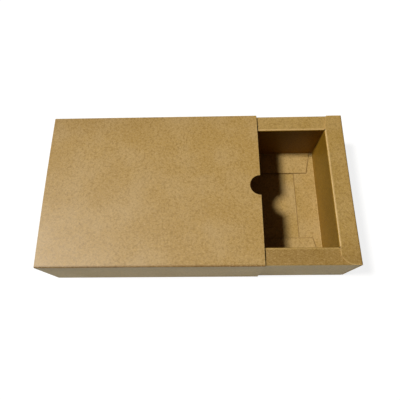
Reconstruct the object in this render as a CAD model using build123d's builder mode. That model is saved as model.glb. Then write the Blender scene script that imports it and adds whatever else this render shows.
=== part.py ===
from build123d import *
import math
import os

# Sliding drawer gift box of brown kraft board, in millimetres, +Z up. A glued sleeve, open at
# both ends, holds a tray folded from one blank, whose four walls are rolled over into thick
# hollow frames. The origin is the centre of the sleeve's underside, and the drawer pulls out
# along +X. Near is -Y, far is +Y, front is the end that pulls out and rear is the other.
# Both blanks are built panel by panel: a fold is shared by the two panels beside it, each
# with half of its curve, so that they meet face to face on the fold's bisector.

# Board
board = 0.5  # thickness
fold_radius = 0.4  # inside radius of a creased right-angle fold

# Sleeve, outside
sleeve_length = 161
sleeve_width = 120
sleeve_height = 47.5  # at the folds
top_crown = 1.0  # how far the top panel springs up along its middle
thumb_notch_radius = 7.8
glue_flap_width = 15
glue_flap_cutback = 3  # of each end, at the fold
glue_flap_taper = 5  # further, at the cut edge
seam_setback = 0.4  # of the bottom panel's cut edge from the far wall's outer face

# Running clearance of the tray in the sleeve
side_clearance = 0.3
top_clearance = 0.4
bottom_clearance = 0.3  # above the glue flap

# Tray
tray_length = 160
side_rim_width = 12.7  # of the long sides' hollow walls, over both boards
end_rim_width = 14.4  # of the end walls
side_lean = 2.0  # by which the inner walls stand nearer the outer walls at their foot
end_lean = 1.2
side_flap_depth = 20  # floor flaps, from the wall's mid thickness
side_flap_cutback = 2.5  # of each end, at the fold
side_flap_taper = 4.5  # further, at the cut edge
end_flap_depth = 18.5
end_flap_cutback = 2.5
end_flap_taper = 2
inner_wall_gap = 0.3  # beside the end walls' inner panels
near_ear_radius = 9.3  # of the rounded corner of each near ear
far_ear_taper = 1.9  # by which each far ear narrows to its end
corner_tab_length = 30
corner_tab_taper = 4  # at the top and bottom of the tab's free end

# How far the tray stands out of the sleeve's mouth as the box is shown
rest_opening = 66.9

# Folds, taken at mid thickness. A turn is the half of a fold that one panel carries.
mid_radius = fold_radius + board / 2
fold_reach = fold_radius + board  # outside radius
square = 45  # the turn of a right-angled fold, in degrees

# Tray outside and inside, and where it stands
tray_width = sleeve_width - 2 * (board + side_clearance)
tray_bottom = 2 * board + bottom_clearance
tray_top = sleeve_height - board - top_clearance
tray_middle = sleeve_length / 2 + rest_opening - tray_length / 2
inner_length = tray_length - 2 * end_rim_width
inner_width = tray_width - 2 * side_rim_width

# Mid planes of the tray's panels: outer and inner walls by their distance from the middle
side_wall_y = (tray_width - board) / 2
side_inner_y = (inner_width + board) / 2
end_wall_x = (tray_length - board) / 2
end_inner_x = (inner_length + board) / 2
tab_x = end_wall_x - board  # the corner tabs lie against the end walls' inside
base_z = tray_bottom + board / 2
end_flap_z = base_z + board  # on the base
side_flap_z = end_flap_z + board  # on the end flaps
end_rim_z = tray_top - board / 2
side_rim_z = end_rim_z - board  # under the end rims' ears

# The inner walls, from the fold at their head to the fold at their foot, and their slope
side_drop = side_rim_z - side_flap_z
side_slope = math.degrees(math.atan(side_lean / side_drop))
side_inner_height = math.hypot(side_lean, side_drop)
end_drop = end_rim_z - end_flap_z
end_slope = math.degrees(math.atan(end_lean / end_drop))
end_inner_height = math.hypot(end_lean, end_drop)

# Lengths of the folds, which stop short of the tray's corners
side_fold_length = tray_length - 2 * (board + fold_reach)
end_fold_length = tray_width - 2 * fold_reach
end_inner_width = inner_width - 2 * inner_wall_gap
tab_bottom = tray_bottom + fold_reach
tab_height = side_rim_z + board / 2 - fold_reach - tab_bottom

sides = {"near": -1, "far": 1}
ends = {"front": 1, "rear": -1}


def panel_section(span, lead_turn=0, trail_turn=0, bulge=0):
    """Section of one panel of board, drawn along X at mid thickness from Y = 0.

    It runs from one fold's corner to the next and carries half of each fold, whose turn is
    towards +Y, or away from it if negative. With no turn it ends in a cut edge. A bulge
    bows it towards -Y.
    """
    start = mid_radius * math.tan(math.radians(abs(lead_turn)))
    end = span - mid_radius * math.tan(math.radians(abs(trail_turn)))
    with BuildSketch() as section:
        with BuildLine():
            lead_tips = []
            trail_tips = []
            for face in (-1, 1):
                level = face * board / 2
                if bulge:
                    ThreePointArc((start, level), ((start + end) / 2, level - bulge), (end, level))
                else:
                    Line((start, level), (end, level))
                lead_tips.append(fold_tip(start, level, -1, lead_turn))
                trail_tips.append(fold_tip(end, level, 1, trail_turn))
            Line(*lead_tips)
            Line(*trail_tips)
        make_face()
    return section.sketch


def fold_tip(edge, level, heading, turn):
    """Carry one face of the board round half a fold, and return the point where it ends."""
    if not turn:
        return Vector(edge, level)
    radius = fold_radius if turn * level > 0 else fold_reach
    return JernArc((edge, level), (heading, 0), radius, heading * turn) @ 1


def flap_outline(root, tip, depth):
    """Plan of a flap from its fold on the X axis to its cut edge at Y = depth."""
    with BuildSketch() as outline:
        Polygon((-root / 2, 0), (root / 2, 0), (tip / 2, depth), (-tip / 2, depth), align=None)
    return outline.sketch


def panel_plane(corner, along, inward):
    """Plane of a section from a fold's corner: X along the panel and Y to its inner face."""
    return Plane(corner, x_dir=along, z_dir=Vector(along).cross(Vector(inward)))


def outline_plane(corner, along, inward):
    """Plane of a panel's plan: Y along the panel and X along its fold."""
    return Plane(corner, x_dir=Vector(along).cross(Vector(inward)), z_dir=inward)


def save(piece, name):
    piece.part.label = name
    export_step(piece.part, f"parts/{name}.step")


os.makedirs("parts", exist_ok=True)

# ---------------------------------------------------------------- sleeve
# One blank: bottom, near wall, top, far wall and glue flap, folded round and glued inside
# the bottom panel. A half-round notch in the mouth's edge, above and below, lets thumb and
# finger pinch the tray.
sleeve_y = (sleeve_width - board) / 2
sleeve_low_z = board / 2
sleeve_high_z = sleeve_height - board / 2
sleeve_rise = sleeve_high_z - sleeve_low_z

with BuildSketch() as thumb_notch:
    with Locations((sleeve_length / 2, 0)):
        Circle(thumb_notch_radius)

with BuildPart() as sleeve_top_panel:
    with BuildSketch(panel_plane((0, -sleeve_y, sleeve_high_z), (0, 1, 0), (0, 0, -1))):
        add(panel_section(2 * sleeve_y, square, square, bulge=top_crown))
    extrude(amount=sleeve_length / 2, both=True)
    with BuildSketch(Plane.XY.offset(sleeve_height)):
        add(thumb_notch.sketch)
    extrude(amount=sleeve_height / 2, both=True, mode=Mode.SUBTRACT)
save(sleeve_top_panel, "sleeve_top_panel")

with BuildPart() as sleeve_near_wall:
    with BuildSketch(panel_plane((0, -sleeve_y, sleeve_low_z), (0, 0, 1), (0, 1, 0))):
        add(panel_section(sleeve_rise, square, square))
    extrude(amount=sleeve_length / 2, both=True)
save(sleeve_near_wall, "sleeve_near_wall")

with BuildPart() as sleeve_bottom_panel:
    with BuildSketch(panel_plane((0, -sleeve_y, sleeve_low_z), (0, 1, 0), (0, 0, 1))):
        add(panel_section(sleeve_y + sleeve_width / 2 - seam_setback, square))
    extrude(amount=sleeve_length / 2, both=True)
    with BuildSketch(Plane.XY):
        add(thumb_notch.sketch)
    extrude(amount=sleeve_height / 2, both=True, mode=Mode.SUBTRACT)
save(sleeve_bottom_panel, "sleeve_bottom_panel")

with BuildPart() as sleeve_far_wall:
    with BuildSketch(panel_plane((0, sleeve_y, sleeve_low_z + board), (0, 0, 1), (0, -1, 0))):
        add(panel_section(sleeve_rise - board, square, square))
    extrude(amount=sleeve_length / 2, both=True)
save(sleeve_far_wall, "sleeve_far_wall")

glue_flap_root = sleeve_length - 2 * glue_flap_cutback
with BuildPart() as sleeve_glue_flap:
    with BuildSketch(panel_plane((0, sleeve_y, sleeve_low_z + board), (0, -1, 0), (0, 0, 1))):
        add(panel_section(glue_flap_width, square))
    extrude(amount=sleeve_length / 2, both=True)
    with BuildSketch(outline_plane((0, sleeve_y, sleeve_low_z + board), (0, -1, 0), (0, 0, 1))):
        add(flap_outline(glue_flap_root, glue_flap_root - 2 * glue_flap_taper, glue_flap_width))
    extrude(amount=fold_reach, both=True, mode=Mode.INTERSECT)
save(sleeve_glue_flap, "sleeve_glue_flap")

# ---------------------------------------------------------------- tray base
# The middle of the tray's blank, with a fold along each side. The folds stop short of the
# corners, where the blank is cut away.
with BuildPart() as tray_base:
    with BuildSketch(panel_plane((tray_middle, -side_wall_y, base_z), (0, 1, 0), (0, 0, 1))):
        add(panel_section(2 * side_wall_y, square, square))
    extrude(amount=side_fold_length / 2, both=True)
    with BuildSketch(panel_plane((tray_middle - end_wall_x, 0, base_z), (1, 0, 0), (0, 0, 1))):
        add(panel_section(2 * end_wall_x, square, square))
    extrude(amount=end_fold_length / 2, both=True)
save(tray_base, "tray_base")

# ---------------------------------------------------------------- long walls of the tray
# Outer wall, rim, inner wall and floor flap are one strip of the blank, rolled over. They
# stand one board lower than the end walls, whose ears lap over their rims.
side_turn = square + side_slope / 2
side_foot_length = inner_length + 2 * end_lean
side_flap_root = side_foot_length - 2 * side_flap_cutback
side_foot_y = side_inner_y + side_lean
tab_middle_z = tab_bottom + tab_height / 2

for side, across in sides.items():
    inward = (0, -across, 0)

    # The outer wall folds to the base and the rim, and at its ends to the corner tabs.
    with BuildPart() as outer_wall:
        foot = (tray_middle, across * side_wall_y, base_z)
        with BuildSketch(panel_plane(foot, (0, 0, 1), inward)):
            add(panel_section(side_rim_z - base_z, square, square))
        extrude(amount=side_fold_length / 2, both=True)
        tab_fold = (tray_middle - tab_x, across * side_wall_y, tab_middle_z)
        with BuildSketch(panel_plane(tab_fold, (1, 0, 0), inward)):
            add(panel_section(2 * tab_x, square, square))
        extrude(amount=tab_height / 2, both=True)
    save(outer_wall, f"tray_{side}_outer_wall")

    # The rim has its inner fold only beside the opening, and a cut edge under the ears.
    with BuildPart() as rim:
        rim_plane = panel_plane((tray_middle, across * side_wall_y, side_rim_z), inward, (0, 0, -1))
        with BuildSketch(rim_plane):
            add(panel_section(side_rim_width - board - mid_radius, square))
        extrude(amount=side_fold_length / 2, both=True)
        with BuildSketch(rim_plane):
            add(panel_section(side_rim_width - board, square, side_turn))
        extrude(amount=inner_length / 2, both=True)
    save(rim, f"tray_{side}_rim")

    # The inner wall leans out to the floor flap, and its ends follow the end walls' lean.
    # The lower fold stops short of the corners, which leaves a small opening at each.
    with BuildPart() as inner_wall:
        head = (tray_middle, across * side_inner_y, side_rim_z)
        down = (0, across * side_lean, -side_drop)
        inner_plane = panel_plane(head, down, (0, -across * side_drop, -side_lean))
        with BuildSketch(inner_plane):
            add(panel_section(side_inner_height - mid_radius, -side_turn))
        extrude(amount=side_foot_length / 2, both=True)
        with BuildSketch(inner_plane):
            add(panel_section(side_inner_height, -side_turn, side_turn))
        extrude(amount=side_flap_root / 2, both=True)
        with BuildSketch(outline_plane(head, down, (0, -across * side_drop, -side_lean))):
            add(flap_outline(inner_length, side_foot_length, side_inner_height))
        extrude(amount=fold_reach, both=True, mode=Mode.INTERSECT)
    save(inner_wall, f"tray_{side}_inner_wall")

    # The floor flap lies on the end flaps, and clear of the base between them.
    with BuildPart() as floor_flap:
        flap_fold = (tray_middle, across * side_foot_y, side_flap_z)
        with BuildSketch(panel_plane(flap_fold, inward, (0, 0, 1))):
            add(panel_section(side_flap_depth, side_turn))
        extrude(amount=side_foot_length / 2, both=True)
        with BuildSketch(outline_plane(flap_fold, inward, (0, 0, 1))):
            add(flap_outline(side_flap_root, side_flap_root - 2 * side_flap_taper, side_flap_depth))
        extrude(amount=fold_reach, both=True, mode=Mode.INTERSECT)
    save(floor_flap, f"tray_{side}_floor_flap")

# ---------------------------------------------------------------- end walls of the tray
# The same strip at each end, but its rim reaches the full width, and its two ears lap over
# the long rims. The near ear is rounded off, and the far ear has a slightly slanting edge.
end_turn = square + end_slope / 2
end_foot_width = end_inner_width + 2 * side_lean
end_flap_root = end_foot_width - 2 * end_flap_cutback
ear_depth = end_rim_width - board  # to the cut edge, from the wall's mid plane
inner_fold_depth = ear_depth - mid_radius * math.tan(math.radians(end_turn))

for end, towards in ends.items():
    inward = (-towards, 0, 0)
    wall_x = tray_middle + towards * end_wall_x
    inner_x = tray_middle + towards * end_inner_x

    # The outer wall covers the corner tabs, and has cut edges at the tray's corners.
    with BuildPart() as outer_wall:
        with BuildSketch(panel_plane((wall_x, 0, base_z), (0, 0, 1), inward)):
            add(panel_section(end_rim_z - base_z, square, square))
        extrude(amount=end_fold_length / 2, both=True)
        with BuildSketch(panel_plane((wall_x, 0, base_z + mid_radius), (0, 0, 1), inward)):
            add(panel_section(end_rim_z - base_z - mid_radius, 0, square))
        extrude(amount=tray_width / 2, both=True)
    save(outer_wall, f"tray_{end}_outer_wall")

    # The rim: first its full width with the outer fold, trimmed to the plan of its two
    # ears, and then the stretch between them that folds down to the inner wall.
    with BuildPart() as rim:
        rim_plane = panel_plane((wall_x, 0, end_rim_z), inward, (0, 0, -1))
        with BuildSketch(rim_plane):
            add(panel_section(ear_depth, square))
        extrude(amount=tray_width / 2, both=True)
        with BuildSketch(Plane((wall_x, 0, end_rim_z), x_dir=(0, 1, 0), z_dir=(0, 0, towards))):
            Polygon(
                (-tray_width / 2, 0),
                (tray_width / 2, 0),
                (tray_width / 2, ear_depth - far_ear_taper),
                (inner_width / 2, ear_depth),
                (inner_width / 2, inner_fold_depth),
                (-inner_width / 2, inner_fold_depth),
                (-inner_width / 2, ear_depth),
                (-tray_width / 2, ear_depth),
                align=None,
            )
            fillet(vertices().group_by(Axis.Y)[-1].sort_by(Axis.X)[0], near_ear_radius)
        extrude(amount=fold_reach, both=True, mode=Mode.INTERSECT)
        with BuildSketch(rim_plane):
            add(panel_section(end_rim_width - board, square, end_turn))
        extrude(amount=end_inner_width / 2, both=True)
    save(rim, f"tray_{end}_rim")

    with BuildPart() as inner_wall:
        head = (inner_x, 0, end_rim_z)
        down = (towards * end_lean, 0, -end_drop)
        inner_plane = panel_plane(head, down, (-towards * end_drop, 0, -end_lean))
        with BuildSketch(inner_plane):
            add(panel_section(end_inner_height - mid_radius, -end_turn))
        extrude(amount=end_foot_width / 2, both=True)
        with BuildSketch(inner_plane):
            add(panel_section(end_inner_height, -end_turn, end_turn))
        extrude(amount=end_flap_root / 2, both=True)
        with BuildSketch(outline_plane(head, down, (-towards * end_drop, 0, -end_lean))):
            add(flap_outline(end_inner_width, end_foot_width, end_inner_height))
        extrude(amount=fold_reach, both=True, mode=Mode.INTERSECT)
    save(inner_wall, f"tray_{end}_inner_wall")

    # The floor flap lies on the base, under the long sides' flaps.
    with BuildPart() as floor_flap:
        flap_fold = (inner_x + towards * end_lean, 0, end_flap_z)
        with BuildSketch(panel_plane(flap_fold, inward, (0, 0, 1))):
            add(panel_section(end_flap_depth, end_turn))
        extrude(amount=end_foot_width / 2, both=True)
        with BuildSketch(outline_plane(flap_fold, inward, (0, 0, 1))):
            add(flap_outline(end_flap_root, end_flap_root - 2 * end_flap_taper, end_flap_depth))
        extrude(amount=fold_reach, both=True, mode=Mode.INTERSECT)
    save(floor_flap, f"tray_{end}_floor_flap")

    # Corner tabs: the long outer walls' ends, folded in and glued to the end wall's inside.
    for side, across in sides.items():
        with BuildPart() as corner_tab:
            tab_fold = (tray_middle + towards * tab_x, across * side_wall_y, tab_middle_z)
            with BuildSketch(panel_plane(tab_fold, (0, -across, 0), inward)):
                add(panel_section(corner_tab_length, square))
            extrude(amount=tab_height / 2, both=True)
            with BuildSketch(outline_plane(tab_fold, (0, -across, 0), inward)):
                add(flap_outline(tab_height, tab_height - 2 * corner_tab_taper, corner_tab_length))
            extrude(amount=fold_reach, both=True, mode=Mode.INTERSECT)
        save(corner_tab, f"tray_{end}_{side}_corner_tab")
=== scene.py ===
import math

import bpy
import numpy as np
from mathutils import Matrix, Vector


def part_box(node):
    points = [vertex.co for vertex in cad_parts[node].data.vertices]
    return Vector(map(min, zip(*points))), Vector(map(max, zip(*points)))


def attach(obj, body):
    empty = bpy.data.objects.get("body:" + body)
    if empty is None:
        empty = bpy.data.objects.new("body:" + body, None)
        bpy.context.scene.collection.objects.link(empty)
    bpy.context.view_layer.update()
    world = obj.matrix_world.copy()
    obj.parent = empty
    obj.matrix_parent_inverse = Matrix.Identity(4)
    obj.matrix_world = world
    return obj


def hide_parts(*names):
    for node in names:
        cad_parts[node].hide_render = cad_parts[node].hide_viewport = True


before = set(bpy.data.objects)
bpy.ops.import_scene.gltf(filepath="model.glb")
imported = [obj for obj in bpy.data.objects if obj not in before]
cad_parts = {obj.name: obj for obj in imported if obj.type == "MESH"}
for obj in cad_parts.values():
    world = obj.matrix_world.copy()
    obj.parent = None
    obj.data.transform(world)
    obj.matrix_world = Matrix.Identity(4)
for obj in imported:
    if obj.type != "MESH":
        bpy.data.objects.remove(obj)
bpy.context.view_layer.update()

# ---------------------------------------------------------------- sleeve: bottom panel
# The sleeve is one die-cut blank of kraft board, folded round into a flat tube and glued.
# Its bottom panel lies on the table. It has a half-round thumb notch in the edge of the
# mouth, a fold along the near wall, and a cut edge along the far wall, over the glue flap.

mm = 0.001
board = 0.5 * mm  # thickness
fold_radius = 0.4 * mm  # inside radius of a crease
mid_radius = fold_radius + board / 2
edge_wear = 0.07 * mm  # how far the die has rounded the board's cut edges
fray = 0.9 * mm  # how far a cut edge's or a crease's own tone reaches into the panel
square = 45.0  # half of a right-angled fold, in degrees
uncut = 9.0  # metres, longer than any fold: the fold runs the whole length of its panel
seam_setback = 0.4 * mm  # of the bottom panel's cut edge from the far wall's outer face
X, Y, Z = np.eye(3)


def fold_lines(span, turns, stops=(), step=3.5 * mm):
    """Where the grid lines of one direction run, from one fold's corner to the next.

    A turn is half a fold in degrees, towards the panel's inner side, or away from it if
    negative, and 0 is a cut edge. On the flat part a line's place is its distance a. Round
    a fold it moves by r sin(angle) and lifts by r (1 - cos(angle)), in the board's middle.
    """
    start, end = (mid_radius * math.tan(math.radians(abs(turn))) for turn in turns)
    end = span - end
    flat = list(np.linspace(start, end, max(2, round((end - start) / step) + 1)))
    flat += [stop + d for stop in stops for d in (-edge_wear, 0, edge_wear)]
    flat += [start + edge_wear, start + fray, end - edge_wear, end - fray]
    flat = np.unique(np.round([a for a in flat if start - 1e-9 <= a <= end + 1e-9], 7))
    first, last = (np.radians(np.linspace(abs(turn), abs(turn) / 6, 6 if turn else 0))
                   for turn in turns)
    sign = np.concatenate([np.sign(turns[0]) + 0 * first, 0 * flat, np.sign(turns[1]) + 0 * last])
    angle = np.concatenate([first, 0 * flat, last[::-1]])
    place = np.concatenate([start - mid_radius * np.sin(first), flat,
                            end + mid_radius * np.sin(last[::-1])])
    lift = sign * mid_radius * (1 - np.cos(angle))
    away = np.where(place < span / 2, 1, -1)
    return {
        "place": place,
        "lift": lift,
        "lean": away * sign * np.sin(angle),
        "up": np.cos(angle),
        "walked": np.concatenate([[0.0], np.cumsum(np.hypot(np.diff(place), np.diff(lift)))]),
        "start": start,
        "end": end,
    }


def board_panel(name, body, foot, across, along, inward, span, turns, length, stretch=(uncut, uncut),
                end_turns=(0, 0), rows=(), columns=(), plan=None, bow=None, blank=(0, 1), outside=-1,
                crease_tones=(0, 0), edge_tone=0, painted_shade=None):
    """One panel of board between its creases: a closed solid grid of the board's thickness.

    foot is the middle of the first fold's corner line. A point of the board's middle is
    foot + across * a + along * v + inward * (both lifts + bow), and each face stands half
    the board's thickness from it along the normal. plan(a, v) moves both to the cut outline.
    stretch is how far each of the two folds runs either way from the middle, and beyond
    that it is cut away, as are the corners where two folds would cross. At every cut edge
    the board is thinner by what the die has rounded off. The tones say how much paler, or
    darker if negative, the two creases and the cut edges are painted than the panel, fading
    out over the fray: paler is worn fibre and painted highlight together, darker is painted
    shade, and along a raised cut edge a painted shadow. The inside of each fold is painted a
    little darker, painted shade in the crease, and grime(u, t) says how much darker the
    panel is painted there, as painted shade.
    """
    half = length / 2
    A = fold_lines(span, turns, rows)
    stops = [r for r, turn in zip(stretch, turns) if turn and r < half] + list(columns)
    stops = [half + side * r for r in stops for side in (-1, 1)]
    V = fold_lines(length, end_turns, stops)
    a, v = A["place"], V["place"] - half
    m, n = len(a), len(v)

    # Which cells of the grid are board, and which points lie on a cut edge
    mid_a, mid_v = (a[1:] + a[:-1]) / 2, (v[1:] + v[:-1]) / 2
    on_end_fold = (mid_v < V["start"] - half) | (mid_v > V["end"] - half)
    kept = np.ones((m - 1, n - 1), bool)
    for on_fold, far in ((mid_a < A["start"], stretch[0]), (mid_a > A["end"], stretch[1])):
        kept &= ~(on_fold[:, None] & ((np.abs(mid_v) > far) | on_end_fold)[None, :])
    around = np.pad(kept, 1)
    around[0] |= around[1] & bool(turns[0])
    around[-1] |= around[-2] & bool(turns[1])
    around[:, 0] |= around[:, 1] & bool(end_turns[0])
    around[:, -1] |= around[:, -2] & bool(end_turns[1])
    cut = ~(around[1:, 1:] & around[:-1, 1:] & around[1:, :-1] & around[:-1, :-1])

    # Middle of the board, its normal, and its two faces
    aa, vv = np.broadcast_to(a[:, None], (m, n)), np.broadcast_to(v[None, :], (m, n))
    raised = A["lift"][:, None] + V["lift"][None, :]
    if bow:
        raised = raised + bow(np.clip(aa / span, 0, 1), vv / half)
    if plan:
        aa, vv = plan(aa, vv)
    middle = foot + aa[..., None] * across + vv[..., None] * along + raised[..., None] * inward
    normal = (A["lean"][:, None, None] * across + V["lean"][None, :, None] * along
              + (A["up"][:, None] * V["up"][None, :])[..., None] * inward)
    depth = np.where(cut, board / 2 - edge_wear, board / 2)[..., None]
    points = np.concatenate([(middle + side * depth * normal).reshape(-1, 3) for side in (-1, 1)])

    # Faces: the two sides, then a wall wherever a cell has no neighbour
    index = np.arange(m * n).reshape(m, n)
    i, j = np.nonzero(kept)
    quad = np.stack([index[i, j], index[i + 1, j], index[i + 1, j + 1], index[i, j + 1]], 1)
    faces = [quad + m * n, quad[:, ::-1]]
    board_at = np.pad(kept, 1)
    for step, p, q in (((0, -1), (0, 0), (1, 0)), ((0, 1), (1, 1), (0, 1)),
                       ((-1, 0), (0, 1), (0, 0)), ((1, 0), (1, 0), (1, 1))):
        bare = ~board_at[i + 1 + step[0], j + 1 + step[1]]
        e, f = i[bare], j[bare]
        one, two = index[e + p[0], f + p[1]], index[e + q[0], f + q[1]]
        faces.append(np.stack([two + m * n, one + m * n, one, two], 1))
    faces = np.concatenate(faces)
    if np.dot(np.cross(across, along), inward) < 0:
        faces = faces[:, ::-1]
    used, faces = np.unique(faces, return_inverse=True)
    faces = faces.reshape(-1, 4)

    # Tones, and each point's own place on the flat blank
    tone, fold_inside_shade, wear_and_painted_light = np.zeros((3, m, n))
    for gap, turn, far, crease in zip((a - A["start"], A["end"] - a), turns, stretch, crease_tones):
        folded = bool(turn) & (np.abs(v) <= far)
        fade = np.clip(1 - gap / fray, 0, 1)[:, None]
        tone += crease * fade * folded
        fold_inside_shade -= 0.5 * fade * folded
        wear_and_painted_light = np.maximum(wear_and_painted_light, fade * ~folded)
    for gap, turn in zip((half + v, half - v), end_turns):
        wear_and_painted_light = np.maximum(wear_and_painted_light, np.clip(1 - gap / fray, 0, 1)[None, :] * (not turn))
    tone += edge_tone * wear_and_painted_light
    if painted_shade:
        tone = tone - painted_shade(np.clip(aa / span, 0, 1), vv / half)
    tones = [fold_inside_shade, tone] if outside > 0 else [tone, fold_inside_shade]
    flat = np.stack([
        np.tile((blank[0] + blank[1] * np.broadcast_to(A["walked"][:, None], (m, n))).ravel(), 2),
        np.tile(vv.ravel(), 2),
        np.concatenate([np.full(m * n, side * outside * board / 2) for side in (-1, 1)]),
    ], 1)
    mesh = bpy.data.meshes.new(name)
    mesh.from_pydata(points[used].tolist(), [], faces.tolist())
    for key, values in (("cut", np.tile(cut.ravel(), 2).astype(float)),
                        ("tone", np.concatenate([t.ravel() for t in tones]).astype(float))):
        mesh.attributes.new(key, "FLOAT", "POINT").data.foreach_set("value", values[used])
    on_blank = mesh.attributes.new("on_blank", "FLOAT_VECTOR", "POINT")
    on_blank.data.foreach_set("vector", flat[used].ravel())
    mesh.shade_smooth()
    mesh.set_sharp_from_angle(angle=math.radians(20))
    piece = bpy.data.objects.new(name, mesh)
    bpy.context.scene.collection.objects.link(piece)
    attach(piece, body)
    return piece, blank[0] + blank[1] * A["walked"][-1]


def paint(hex_colour):
    """sRGB hex to linear red, green, blue and alpha."""
    parts = [int(hex_colour[k:k + 2], 16) / 255 for k in (1, 3, 5)]
    return [c / 12.92 if c <= 0.04045 else ((c + 0.055) / 1.055) ** 2.4 for c in parts] + [1.0]


def add(tree, kind, sockets=None, **settings):
    """Add one node: settings set its properties, sockets its inputs, by a value or a link."""
    new = tree.nodes.new(kind)
    for key, value in settings.items():
        setattr(new, key, value)
    for key, value in (sockets or {}).items():
        if isinstance(value, bpy.types.NodeSocket):
            tree.links.new(value, new.inputs[key])
        else:
            new.inputs[key].default_value = value
    return new


def kraft_board(name, pulp, pale_fibre, dark_fibre, shade_brown, raw_edge, ior=1.5, grain=1.0):
    """Unbleached kraft board, calendered on the machine and die-cut: a matt brown sheet.

    The eye sees a cloudy formation a few millimetres across, short fibres that lie mostly
    along the machine's direction, a few dark shives, a faint broad gloss where the lamp's
    reflection falls, paler fibres on the outside of each fold and along some cut edges, partly
    worn fibre and partly a painted highlight, a painted shade line on a fold's inside, and
    pale plies on the cut edges. pulp is the formation's dark, middle and light brown, then
    its dull and its bright mottle. handled is the brown of all painted shade: in creases, as
    a painted shadow along the floor flaps' edges, and where a panel is painted darker, and
    grain is the strength of the fibres.
    """
    material = bpy.data.materials.new(name)
    material.use_nodes = True
    tree = material.node_tree
    tree.nodes.clear()
    blank = add(tree, "ShaderNodeAttribute", attribute_name="on_blank").outputs["Vector"]
    sheet = add(tree, "ShaderNodeVectorMath", {0: blank, "Scale": 1000.0}, operation="SCALE").outputs[0]

    def strands(turned, length, width, low, high):
        """Streaks of noise, length by width in millimetres, turned in the sheet's plane."""
        laid = add(tree, "ShaderNodeVectorRotate", {"Vector": sheet, "Angle": math.radians(turned)},
                   rotation_type="Z_AXIS").outputs[0]
        drawn = add(tree, "ShaderNodeVectorMath", {0: laid, 1: (1 / width, 1 / length, 1 / width)},
                    operation="MULTIPLY").outputs[0]
        noise = add(tree, "ShaderNodeTexNoise",
                    {"Vector": drawn, "Scale": 1.0, "Detail": 2.0, "Roughness": 0.6}).outputs["Fac"]
        return add(tree, "ShaderNodeMapRange",
                   {"Value": noise, "From Min": low, "From Max": high}).outputs[0]

    def hairs(scale, apart):
        """Long curled fibres: thin lines where a noise crosses its middle value."""
        laid = add(tree, "ShaderNodeVectorMath", {0: sheet, 1: (apart, apart, 0.0)},
                   operation="ADD").outputs[0]
        noise = add(tree, "ShaderNodeTexNoise",
                    {"Vector": laid, "Scale": scale, "Detail": 2.0}).outputs["Fac"]
        crossing = add(tree, "ShaderNodeMath", {0: noise, 1: 0.5}, operation="SUBTRACT").outputs[0]
        gap = add(tree, "ShaderNodeMath", {0: crossing}, operation="ABSOLUTE").outputs[0]
        return add(tree, "ShaderNodeMapRange",
                   {"Value": gap, "From Min": 0.035, "From Max": 0.01}).outputs[0]

    def mixed(factor, under, over, amount):
        """Lay one colour over another, by a pattern's value times an amount."""
        weight = add(tree, "ShaderNodeMath", {0: factor, 1: amount}, operation="MULTIPLY").outputs[0]
        mix = add(tree, "ShaderNodeMix", data_type="RGBA")
        tree.links.new(weight, mix.inputs[0])
        for slot, value in ((6, under), (7, over)):
            if isinstance(value, bpy.types.NodeSocket):
                tree.links.new(value, mix.inputs[slot])
            else:
                mix.inputs[slot].default_value = value
        return mix.outputs[2]

    # Clouds of about 2 mm, the formation, and a broad mottle of about 30 mm
    cloud = add(tree, "ShaderNodeTexNoise",
                {"Vector": sheet, "Scale": 0.5, "Detail": 6.0, "Roughness": 0.72}).outputs["Fac"]
    mottle = add(tree, "ShaderNodeTexNoise",
                 {"Vector": sheet, "Scale": 0.032, "Detail": 4.0, "Roughness": 0.5}).outputs["Fac"]
    dull = add(tree, "ShaderNodeMapRange",
               {"Value": mottle, "From Min": 0.52, "From Max": 0.3}).outputs[0]
    bright = add(tree, "ShaderNodeMapRange",
                 {"Value": mottle, "From Min": 0.48, "From Max": 0.7}).outputs[0]
    ramp = add(tree, "ShaderNodeValToRGB", {"Fac": cloud})
    stops = ramp.color_ramp.elements
    stops[0].position, stops[0].color = 0.36, paint(pulp[0])
    stops[1].position, stops[1].color = 0.64, paint(pulp[2])
    middle = stops.new(0.5)
    middle.color = paint(pulp[1])

    # Real fibres are 1 to 3 mm long but only some 0.03 mm wide, too fine to show in a render,
    # so they are drawn eight to nine times as wide
    along_grain = strands(4, 2.4, 0.28, 0.52, 0.72)
    across_grain = strands(38, 1.6, 0.24, 0.54, 0.74)
    dark_grain = strands(-24, 2.0, 0.26, 0.55, 0.75)
    shives = strands(-9, 1.3, 0.4, 0.7, 0.76)
    # Where the tone is above nothing it is painted paler, worn fibre and painted highlight together; where
    # below, it is painted darker, painted shade.
    tone = add(tree, "ShaderNodeAttribute", attribute_name="tone").outputs["Fac"]
    pale = add(tree, "ShaderNodeMath", {0: tone, 1: 0.0}, operation="MAXIMUM").outputs[0]
    shade_weight = add(tree, "ShaderNodeMath", {0: tone, 1: -1.0},
                  operation="MULTIPLY", use_clamp=True).outputs[0]
    wear_and_painted_light = add(tree, "ShaderNodeMath", {0: pale, 1: strands(0, 3.0, 0.5, 0.0, 0.55)},
               operation="MULTIPLY").outputs[0]

    colour = mixed(dull, ramp.outputs["Color"], paint(pulp[3]), 0.6)
    colour = mixed(bright, colour, paint(pulp[4]), 0.5)
    colour = mixed(shade_weight, colour, paint(shade_brown), 0.9)
    colour = mixed(along_grain, colour, paint(pale_fibre), 0.5 * grain)
    colour = mixed(across_grain, colour, paint(pale_fibre), 0.4 * grain)
    colour = mixed(dark_grain, colour, paint(dark_fibre), 0.42 * grain)
    colour = mixed(hairs(0.5, 0.0), colour, paint(pale_fibre), 0.2)
    colour = mixed(hairs(0.38, 40.0), colour, paint(dark_fibre), 0.2)
    colour = mixed(shives, colour, paint(dark_fibre), 0.8 * grain)
    colour = mixed(wear_and_painted_light, colour, paint(pale_fibre), 0.9)

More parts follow.
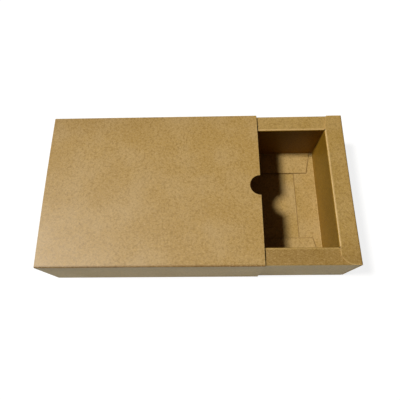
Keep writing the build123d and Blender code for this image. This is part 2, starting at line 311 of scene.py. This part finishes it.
    # Plies run along the cut edge, about six in the board's thickness
    cut = add(tree, "ShaderNodeAttribute", attribute_name="cut").outputs["Fac"]
    plies = add(tree, "ShaderNodeVectorMath", {0: sheet, 1: (0.6, 0.6, 12.0)},
                operation="MULTIPLY").outputs[0]
    ply = add(tree, "ShaderNodeTexNoise", {"Vector": plies, "Scale": 1.0, "Detail": 1.0}).outputs["Fac"]
    edge = mixed(ply, paint(raw_edge), paint(dark_fibre), 0.3)
    colour = mixed(cut, colour, edge, 0.85)

    fuzz = add(tree, "ShaderNodeMath", {0: along_grain, 1: across_grain}, operation="ADD").outputs[0]
    relief = add(tree, "ShaderNodeMath", {0: fuzz, 1: 0.5, 2: cloud},
                 operation="MULTIPLY_ADD").outputs[0]
    bump = add(tree, "ShaderNodeBump",
               {"Height": relief, "Strength": 0.35, "Distance": 0.05 * mm}).outputs[0]
    gloss = add(tree, "ShaderNodeMapRange",
                {"Value": cloud, "From Min": 0.3, "From Max": 0.7,
                 "To Min": 0.44, "To Max": 0.52}).outputs[0]
    shader = add(tree, "ShaderNodeBsdfPrincipled",
                 {"Base Color": colour, "Roughness": gloss, "IOR": ior, "Normal": bump})
    add(tree, "ShaderNodeOutputMaterial", {"Surface": shader.outputs[0]})
    return material


# The last line's colours are the fibres' pale and dark, the brown of the painted shade, and the cut edge.
sleeve_kraft = kraft_board(
    "Kraft_board_calendered_sleeve",
    ("#9D7C3C", "#AF8D4B", "#BE9C5B", "#A8843A", "#BC9F6C"),
    "#D6B680", "#6E5022", "#73500F", "#D8B67C")

near_wall_low, near_wall_high = map(np.array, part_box("sleeve_near_wall"))
far_wall_high = np.array(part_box("sleeve_far_wall")[1])
sleeve_length = near_wall_high[0] - near_wall_low[0]
sleeve_middle = (near_wall_high[0] + near_wall_low[0]) / 2
sleeve_height = near_wall_high[2] + near_wall_low[2]
sleeve_y = far_wall_high[1] - board / 2  # the walls' middle planes
sleeve_wall_bow = 0.1 * mm
notch_radius = 7.8 * mm
notch_rows = [sleeve_y + notch_radius * math.sin(t) for t in np.radians(np.linspace(-90, 90, 29))]
notch_taper = 40 * mm  # of the grid lines behind the notch, which bend in with it


def thumb_notch(a, v):
    """Plan of a panel with the notch: x = mouth - sqrt(r^2 - y^2) where |y| < r."""
    y = a - sleeve_y
    bite = np.sqrt(np.maximum(notch_radius**2 - y**2, 0))
    return a, v - bite * np.clip((v - sleeve_length / 2) / notch_taper + 1, 0, 1)


def dressed(made, node, material):
    """Give a finished panel its board, and let it stand for its plain CAD node."""
    piece, blank_end = made
    piece.data.materials.append(material)
    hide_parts(node)
    return blank_end


dressed(board_panel(
    "sleeve_bottom_board", "sleeve", np.array([sleeve_middle, -sleeve_y, board / 2]), Y, X, Z,
    2 * sleeve_y + board / 2 - seam_setback, (square, 0), sleeve_length, rows=notch_rows, plan=thumb_notch,
    blank=(0, -1), crease_tones=(0.3, 0)), "sleeve_bottom_panel", sleeve_kraft)

# ---------------------------------------------------------------- sleeve: near wall
# The narrow side wall between the bottom and the top panel, creased along both.
# Its crease up to the top panel is painted dark, and its upper part darker towards the top: both painted
# shade.
near_end = dressed(board_panel(
    "sleeve_near_board", "sleeve", np.array([sleeve_middle, -sleeve_y, board / 2]), Z, X, Y,
    sleeve_height - board, (square, square), sleeve_length, crease_tones=(0.3, -0.8),
    painted_shade=lambda u, t: 0.35 * np.clip(2.5 * u - 1.5, 0, 1),
    bow=lambda u, t: sleeve_wall_bow * 4 * u * (1 - u) * (1 + np.sin(2.2 * t + 0.7))),
    "sleeve_near_wall", sleeve_kraft)

# ---------------------------------------------------------------- sleeve: top panel
# The lid of the sleeve, sprung up a millimetre along its middle by the board's own memory,
# with the upper thumb notch in the edge of the mouth.
top_crown = 1.0 * mm


def sprung(u, t):
    """Parabola 4u(1 - u) across the panel, with a slow wave of a tenth of a millimetre."""
    wave = 0.05 * np.sin(3.1 * t + 5 * u) + 0.04 * np.sin(5.3 * t - 7 * u + 1)
    return -(top_crown - 0.1 * mm * (1 + wave)) * 4 * u * (1 - u)


# Its near crease is painted dark, and it is painted darker towards the far crease, most at the end away from
# the notch: both painted shade.
top_end = dressed(board_panel(
    "sleeve_top_board", "sleeve", np.array([sleeve_middle, -sleeve_y, sleeve_height - board / 2]), Y, X, -Z,
    2 * sleeve_y, (square, square), sleeve_length, rows=notch_rows, plan=thumb_notch, bow=sprung,
    blank=(near_end, 1), crease_tones=(-0.8, 0),
    painted_shade=lambda u, t: 0.3 * np.clip(5 * u - 4, 0, 1) * (0.6 - 0.4 * t)),
    "sleeve_top_panel", sleeve_kraft)

# ---------------------------------------------------------------- sleeve: far wall and glue flap
# The other side wall stands on the glue flap, which is glued down inside the bottom panel.
# The flap's ends are cut back at a slant so that it can't show at the mouth.
far_rise = sleeve_height - 2 * board
glue_flap_width = 15 * mm
glue_flap_taper = 5 * mm  # further, at the cut edge
glue_flap_cutback = 3 * mm  # of each end, at the fold
glue_flap_root = sleeve_length - 2 * glue_flap_cutback
dressed(board_panel(
    "sleeve_far_board", "sleeve", np.array([sleeve_middle, sleeve_y, 1.5 * board]), Z, X, -Y,
    far_rise, (square, square), sleeve_length, blank=(top_end + far_rise, -1), crease_tones=(0.3, 0.2),
    bow=lambda u, t: sleeve_wall_bow * 4 * u * (1 - u) * (1 + np.cos(2.6 * t))),
    "sleeve_far_wall", sleeve_kraft)
dressed(board_panel(
    "sleeve_glue_flap_board", "sleeve", np.array([sleeve_middle, sleeve_y, 1.5 * board]), -Y, X, Z,
    glue_flap_width, (square, 0), glue_flap_root, blank=(top_end + far_rise, 1),
    plan=lambda a, v: (a, v * (1 - 2 * glue_flap_taper / glue_flap_root * a / glue_flap_width))),
    "sleeve_glue_flap", sleeve_kraft)

# ---------------------------------------------------------------- tray: base
# The drawer is a tray folded from a second blank of the same board. Its base lies in the
# middle of the blank, with a crease along each side and the corners cut away.

# The tray's board looks a shade darker than the sleeve's. On the floor, the base and the
# flaps have fibres that show less, and their cut edges are painted dark, painted shade. In
# each board the last line's third colour is the brown of the painted shade.
tray_kraft = kraft_board(
    "Kraft_board_calendered_tray",
    ("#967637", "#A68542", "#B5944F", "#9F7D31", "#B3965E"),
    "#D8B67A", "#6C4E1E", "#785500", "#DDBA80")
floor_kraft = kraft_board(
    "Kraft_board_calendered_floor",
    ("#9A7B3F", "#AC8C4D", "#BC9C5D", "#A5843C", "#BA9E6B"),
    "#D9BB84", "#6A4E20", "#6B490C", "#7C5A26", grain=0.68)
tray_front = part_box("tray_front_outer_wall")[1].x
tray_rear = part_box("tray_rear_outer_wall")[0].x
tray_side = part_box("tray_far_outer_wall")[1].y
tray_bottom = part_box("tray_base")[0].z
tray_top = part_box("tray_front_rim")[1].z
tray_middle = (tray_front + tray_rear) / 2
end_x = (tray_front - tray_rear - board) / 2  # the end walls' middle planes, from the middle
side_y = tray_side - board / 2  # the long outer walls' middle planes
tab_x = end_x - board  # the corner tabs' middle planes
base_z = tray_bottom + board / 2
side_folds = tab_x - mid_radius  # half the length of the folds along the long sides
end_folds = side_y - mid_radius
end_dish = 0.35 * mm  # by which the end walls are drawn in between their corners
base_sag = 0.2 * mm  # of the base between its folds


def dish(u, t):
    """Parabola across the width, 1 - t^2, from nothing at the foot to the full depth."""
    return end_dish * u * (1 - t * t)


dressed(board_panel(
    "tray_base_board", "drawer", np.array([tray_middle, -side_y, base_z]), Y, X, Z,
    2 * side_y, (square, square), 2 * end_x, stretch=(side_folds, side_folds), end_turns=(square, square),
    bow=lambda u, t: -base_sag * (1 - (2 * u - 1) ** 4) * (1 - t**6)),
    "tray_base", floor_kraft)

# ---------------------------------------------------------------- tray: long hollow walls
# Each long side is one strip of the blank, rolled over: outer wall, rim, inner wall, and a
# tapered floor flap that lies on the end flaps. The corner tabs are folds on the outer
# wall's two ends. The rims stand one board lower than the ends', whose ears lap over them.
side_rim_z = tray_top - 1.5 * board
side_flap_z = base_z + 2 * board
side_flap_depth = 20 * mm
side_flap_taper = 4.5 * mm
side_lean = 2.0 * mm  # by which the inner walls stand nearer the outer walls at their foot
end_lean = 1.2 * mm

# The inner walls are painted in a darker, more saturated copy of the tray's board, a deep,
# warm brown with little gloss: painted shade, for the lamp only grazes them, and most of
# their light comes off the brown board round them.
shaded_inner_kraft = kraft_board(
    "Kraft_board_painted_shade_inner_walls",
    ("#7B590B", "#88630F", "#946F16", "#7F5B08", "#926F20"),
    "#BC9340", "#583B0E", "#5E3F08", "#CDA96A", ior=1.25)
flap_cutback = 2.5 * mm  # of each end of a floor flap, at its fold
inner_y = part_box("tray_far_inner_wall")[0].y + board / 2  # the inner walls' heads
opening_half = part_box("tray_front_inner_wall")[0].x - tray_middle
foot_half = opening_half + end_lean
flap_half = foot_half - flap_cutback
tab_low = base_z + mid_radius
tab_height = side_rim_z - mid_radius - tab_low
side_bow = 0.12 * mm  # of the outer walls and the rims
inner_bow = 0.3 * mm
flap_rise = 0.38 * mm  # of a flap's free edge, by the spring of its crease
tab_length = 30 * mm
tab_taper = 4 * mm


def leaning(aside, lean, drop):
    """Slant of an inner wall: its direction down, its facing, its span and its half folds."""
    span = math.hypot(lean, drop)
    turn = square + math.degrees(math.atan(lean / drop)) / 2
    return (lean * aside - drop * Z) / span, -(drop * aside + lean * Z) / span, span, turn


for side, way in (("near", -1), ("far", 1)):
    aside = way * Y
    down, facing, wall_span, turn = leaning(aside, side_lean, side_rim_z - side_flap_z)
    wall_end = dressed(board_panel(
        f"tray_{side}_outer_board", "drawer", np.array([tray_middle, way * side_y, base_z]), Z, X, -aside,
        side_rim_z - base_z, (square, square), 2 * tab_x, stretch=(side_folds, side_folds),
        end_turns=(square, square), crease_tones=(0.3, 0.1), blank=(side_y, 1),
        bow=lambda u, t: side_bow * 4 * u * (1 - u) * (1 - t * t)),
        f"tray_{side}_outer_wall", tray_kraft)
    # The fold into the opening is painted paler, worn fibre and painted highlight together, and the near rim
    # is painted darker all over, painted shade.
    rim_end = dressed(board_panel(
        f"tray_{side}_rim_board", "drawer", np.array([tray_middle, way * side_y, side_rim_z]), -aside, X, -Z,
        side_y - inner_y, (square, turn), 2 * side_folds, stretch=(uncut, opening_half), blank=(wall_end, 1),
        crease_tones=(0.1, 0.7), bow=lambda u, t: side_bow * np.sin(math.pi * u) * np.cos(2 * t),
        painted_shade=lambda u, t: (0.6 if side == "near" else 0) + 0 * u),
        f"tray_{side}_rim", tray_kraft)
    # The inner wall's head fold and cut ends are painted paler: worn fibre and painted highlight together.
    inner_end = dressed(board_panel(
        f"tray_{side}_inner_board", "drawer", np.array([tray_middle, way * inner_y, side_rim_z]),
        down, X, facing, wall_span, (-turn, turn), 2 * foot_half, stretch=(uncut, flap_half),
        outside=1, blank=(rim_end, 1),
        plan=lambda a, v: (a, v * (1 - end_lean / foot_half * (1 - a / wall_span))),
        crease_tones=(0.6, 0), edge_tone=0.5, bow=lambda u, t: inner_bow * 4 * u * (1 - u) * (1 - t * t)),
        f"tray_{side}_inner_wall", shaded_inner_kraft)
    # The floor flap's cut edges are painted dark: painted shadow under its raised free edge.
    dressed(board_panel(
        f"tray_{side}_flap_board", "drawer",
        np.array([tray_middle, way * (inner_y + side_lean), side_flap_z]), -aside, X, Z,
        side_flap_depth, (turn, 0), 2 * flap_half, outside=1, blank=(inner_end, 1),
        plan=lambda a, v: (a, v * (1 - side_flap_taper / flap_half * a / side_flap_depth)),
        edge_tone=-0.7, bow=lambda u, t: flap_rise * u),
        f"tray_{side}_floor_flap", floor_kraft)
    for end, towards in (("front", 1), ("rear", -1)):
        dressed(board_panel(
            f"tray_{end}_{side}_tab_board", "drawer",
            np.array([tray_middle + towards * tab_x, way * side_y, tab_low + tab_height / 2]),
            -aside, Z, -towards * X, tab_length, (square, 0), tab_height, blank=(side_y, 1),
            plan=lambda a, v: (a, v * (1 - 2 * tab_taper / tab_height * a / tab_length)),
            bow=lambda u, t: dish(0.5 + t * tab_height / (2 * (tray_top - tray_bottom)),
                                  1 - u * tab_length / side_y)),
            f"tray_{end}_{side}_corner_tab", tray_kraft)

# ---------------------------------------------------------------- tray: end hollow walls
# The same strip at each end, glued over the corner tabs. The rim's two ears lap over the
# long rims: the near one is rounded off, and the far one has a slightly slanting edge.
end_rim_z = tray_top - board / 2
end_flap_z = base_z + board
end_flap_depth = 18.5 * mm
end_flap_taper = 2 * mm
near_ear_radius = 9.3 * mm
far_ear_taper = 1.9 * mm
end_rim_bow = 0.1 * mm
end_inner_bow = 0.2 * mm  # outwards, into the hollow
end_flap_rise = 0.3 * mm  # of the flap's two free corners
ear_slit = 0.3 * mm  # between an ear and the fold down to the inner wall
inner_x = opening_half + board / 2  # the inner walls' heads, from the middle
ear_side = inner_y - board / 2
ear_depth = end_x - inner_x
end_inner_half = ear_side - ear_slit
end_foot_half = end_inner_half + side_lean
end_flap_half = end_foot_half - flap_cutback


def ears(a, v):
    """Plan of the rim: past the slit, its rows are spread to the ears' depth and drawn in.

    The near ear's corner is an arc, v = r - sqrt(r^2 - (a - a0)^2) from its edge, and the
    far ear's edge runs straight from the opening's corner to the taper at the side. The
    outer fold follows the outer wall, which is drawn in between its corners.
    """
    on_ear = np.clip((np.abs(v) - ear_side) / edge_wear + 1, 0, 1)
    a = a + on_ear * (ear_depth - fold_start) * np.clip((a - mid_radius) / (fold_start - mid_radius), 0, 1)
    into = np.clip(a - (ear_depth - near_ear_radius), 0, near_ear_radius)
    near_limit = tray_side - (near_ear_radius - np.sqrt(near_ear_radius**2 - into**2))
    slant = np.clip((a - (ear_depth - far_ear_taper)) / far_ear_taper, 0, 1)
    far_limit = tray_side - (tray_side - ear_side) * slant
    beyond = np.clip((np.abs(v) - ear_side) / (tray_side - ear_side), 0, 1)
    limit = np.where(v < 0, near_limit, far_limit)
    a = a + dish(1, v / tray_side) * np.clip(1 - a / ear_depth, 0, 1)
    return a, np.where(beyond > 0, np.sign(v) * (ear_side + beyond * (limit - ear_side)), v)


for end, towards in (("front", 1), ("rear", -1)):
    outward = towards * X
    down, facing, wall_span, turn = leaning(outward, end_lean, end_rim_z - end_flap_z)
    fold_start = ear_depth - mid_radius * math.tan(math.radians(turn))
    on_grid = (fold_start - mid_radius) / (ear_depth - mid_radius)
    ear_rows = [mid_radius + on_grid * (ear_depth - mid_radius - near_ear_radius * (1 - math.sin(t)))
                for t in np.radians(np.linspace(0, 84, 13))]
    # The end wall's top fold is painted dark, painted shade, and its cut edges paler, worn fibre and painted
    # highlight together.
    wall_end = dressed(board_panel(
        f"tray_{end}_outer_board", "drawer", np.array([tray_middle, 0, base_z]) + end_x * outward,
        Z, Y, -outward, end_rim_z - base_z, (square, square), 2 * tray_side,
        stretch=(end_folds, uncut), blank=(end_x, 1), bow=dish,
        crease_tones=(0.3, -0.4), edge_tone=0.4),
        f"tray_{end}_outer_wall", tray_kraft)
    # The rim's outer fold is painted dark, painted shade; its fold into the opening and the ears' edges are
    # painted paler, worn fibre and painted highlight together; and it is painted darker towards its near
    # end, painted shade.
    rim_end = dressed(board_panel(
        f"tray_{end}_rim_board", "drawer", np.array([tray_middle, 0, end_rim_z]) + end_x * outward,
        -outward, Y, -Z, ear_depth, (square, turn), 2 * tray_side, stretch=(uncut, end_inner_half),
        rows=ear_rows, columns=(ear_side,), plan=ears, blank=(wall_end, 1),
        crease_tones=(-0.4, 0.8), edge_tone=1.0,
        bow=lambda u, t: end_rim_bow * np.sin(math.pi * u) * np.cos(2.5 * t),
        painted_shade=lambda u, t: 0.5 * np.clip(-3 * t - 1.8, 0, 1)),
        f"tray_{end}_rim", tray_kraft)
    # The end inner wall's head fold and side edges are painted paler: worn fibre and painted highlight
    # together.
    inner_end = dressed(board_panel(
        f"tray_{end}_inner_board", "drawer", np.array([tray_middle, 0, end_rim_z]) + inner_x * outward,
        down, Y, facing, wall_span, (-turn, turn), 2 * end_foot_half,
        stretch=(uncut, end_flap_half), outside=1,
        plan=lambda a, v: (a, v * (1 - side_lean / end_foot_half * (1 - a / wall_span))),
        bow=lambda u, t: -end_inner_bow * 4 * u * (1 - u) * (1 - t * t), blank=(rim_end, 1),
        crease_tones=(0.7, 0), edge_tone=0.7),
        f"tray_{end}_inner_wall", shaded_inner_kraft)
    # The end floor flap's cut edges are painted dark: painted shadow under its raised free edges.
    dressed(board_panel(
        f"tray_{end}_flap_board", "drawer",
        np.array([tray_middle, 0, end_flap_z]) + (inner_x + end_lean) * outward, -outward, Y, Z,
        end_flap_depth, (turn, 0), 2 * end_flap_half, outside=1, blank=(inner_end, 1),
        plan=lambda a, v: (a, v * (1 - end_flap_taper / end_flap_half * a / end_flap_depth)),
        edge_tone=-0.9, bow=lambda u, t: end_flap_rise * u * u * t * t),
        f"tray_{end}_floor_flap", floor_kraft)

# ---------------------------------------------------------------- floor
# A plain white studio floor, matt, wide enough to fill the view. The camera sees it a
# little brighter than it is, so that it is white outside the box's own soft shadow.
floor_half = 4.0
floor_mesh = bpy.data.meshes.new("studio_floor")
floor_corners = [(-floor_half, -floor_half, 0), (floor_half, -floor_half, 0),
                 (floor_half, floor_half, 0), (-floor_half, floor_half, 0)]
floor_mesh.from_pydata(floor_corners, [], [(0, 1, 2, 3)])
floor = bpy.data.objects.new("studio_floor", floor_mesh)
bpy.context.scene.collection.objects.link(floor)
paper = bpy.data.materials.new("White_paper_sweep")
paper.use_nodes = True
tree = paper.node_tree
tree.nodes.clear()
seen = add(tree, "ShaderNodeLightPath").outputs["Is Camera Ray"]
real_paper = add(tree, "ShaderNodeBsdfDiffuse", {"Color": (0.74, 0.78, 0.74, 1)}).outputs[0]
seen_paper = add(tree, "ShaderNodeBsdfDiffuse", {"Color": (0.22, 0.22, 0.22, 1)}).outputs[0]
glow = add(tree, "ShaderNodeEmission", {"Color": (1, 1, 1, 1), "Strength": 0.85}).outputs[0]
lifted = add(tree, "ShaderNodeAddShader", {0: seen_paper, 1: glow}).outputs[0]
shown = add(tree, "ShaderNodeMixShader", {0: seen, 1: real_paper, 2: lifted}).outputs[0]
add(tree, "ShaderNodeOutputMaterial", {"Surface": shown})
floor_mesh.materials.append(paper)

# ---------------------------------------------------------------- light
# One lamp high on the left, level with the box's length, with a soft edge to its shadows,
# and an even fill from all round.
lamp_height = math.radians(59.9)
lamp = bpy.data.lights.new("studio_lamp", "SUN")
lamp.energy = 3.46
lamp.color = (1.0, 0.975, 0.94)
lamp.angle = math.radians(9)
lamp_stand = bpy.data.objects.new("studio_lamp", lamp)
shine = Vector((math.cos(lamp_height), 0.0, -math.sin(lamp_height)))
lamp_stand.rotation_euler = shine.to_track_quat("-Z", "Y").to_euler()
bpy.context.scene.collection.objects.link(lamp_stand)

world = bpy.data.worlds.new("studio")
bpy.context.scene.world = world
world.use_nodes = True
tree = world.node_tree
tree.nodes.clear()
seen = add(tree, "ShaderNodeLightPath").outputs["Is Camera Ray"]
fill = add(tree, "ShaderNodeBackground", {"Color": (1.0, 0.98, 0.92, 1), "Strength": 0.02}).outputs[0]
white = add(tree, "ShaderNodeBackground", {"Color": (1, 1, 1, 1), "Strength": 1.0}).outputs[0]
room = add(tree, "ShaderNodeMixShader", {0: seen, 1: fill, 2: white}).outputs[0]
add(tree, "ShaderNodeOutputWorld", {"Surface": room})

# ---------------------------------------------------------------- camera
# High over the near side, looking down and back, as the photograph was taken.
camera = bpy.data.cameras.new("camera")
camera.sensor_width = 36
camera.lens = 33.81
camera.clip_start = 0.01
stand = bpy.data.objects.new("camera", camera)
right = Vector((0.99965457, -0.00210854, -0.02619707))
up = Vector((0.01087636, 0.94060675, 0.33932379))
turned = Matrix((right, up, right.cross(up))).transposed()
stand.matrix_world = Matrix.Translation((0.04219, -0.10447, 0.3062)) @ turned.to_4x4()
bpy.context.scene.collection.objects.link(stand)
bpy.context.scene.camera = stand
bpy.context.scene.view_settings.view_transform = "Standard"
